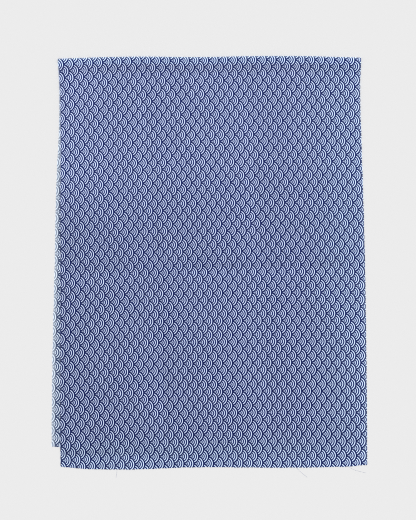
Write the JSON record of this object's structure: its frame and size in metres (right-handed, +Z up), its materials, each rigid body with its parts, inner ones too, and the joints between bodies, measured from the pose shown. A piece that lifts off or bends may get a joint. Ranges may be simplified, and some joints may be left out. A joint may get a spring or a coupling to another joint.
{
  "type": "folded tenugui towel",
  "caption": "Cut length of thin dyed cotton cloth, folded once across its middle and laid flat, for drying, wiping or wrapping.",
  "frame": {"origin": "middle of the outline of the folded towel, on the surface it lies on", "axes": "+X to the right across the cloth, +Y from the raw cut ends towards the fold, +Z up off the surface"},
  "size_m": [0.3482, 0.4622, 0.004],
  "materials": {
    "dyed_cotton": "matte plain-weave cotton, indigo blue and white"
  },
  "bodies": {
    "root": {"towel": "dyed_cotton"}
  },
  "joints": []
}
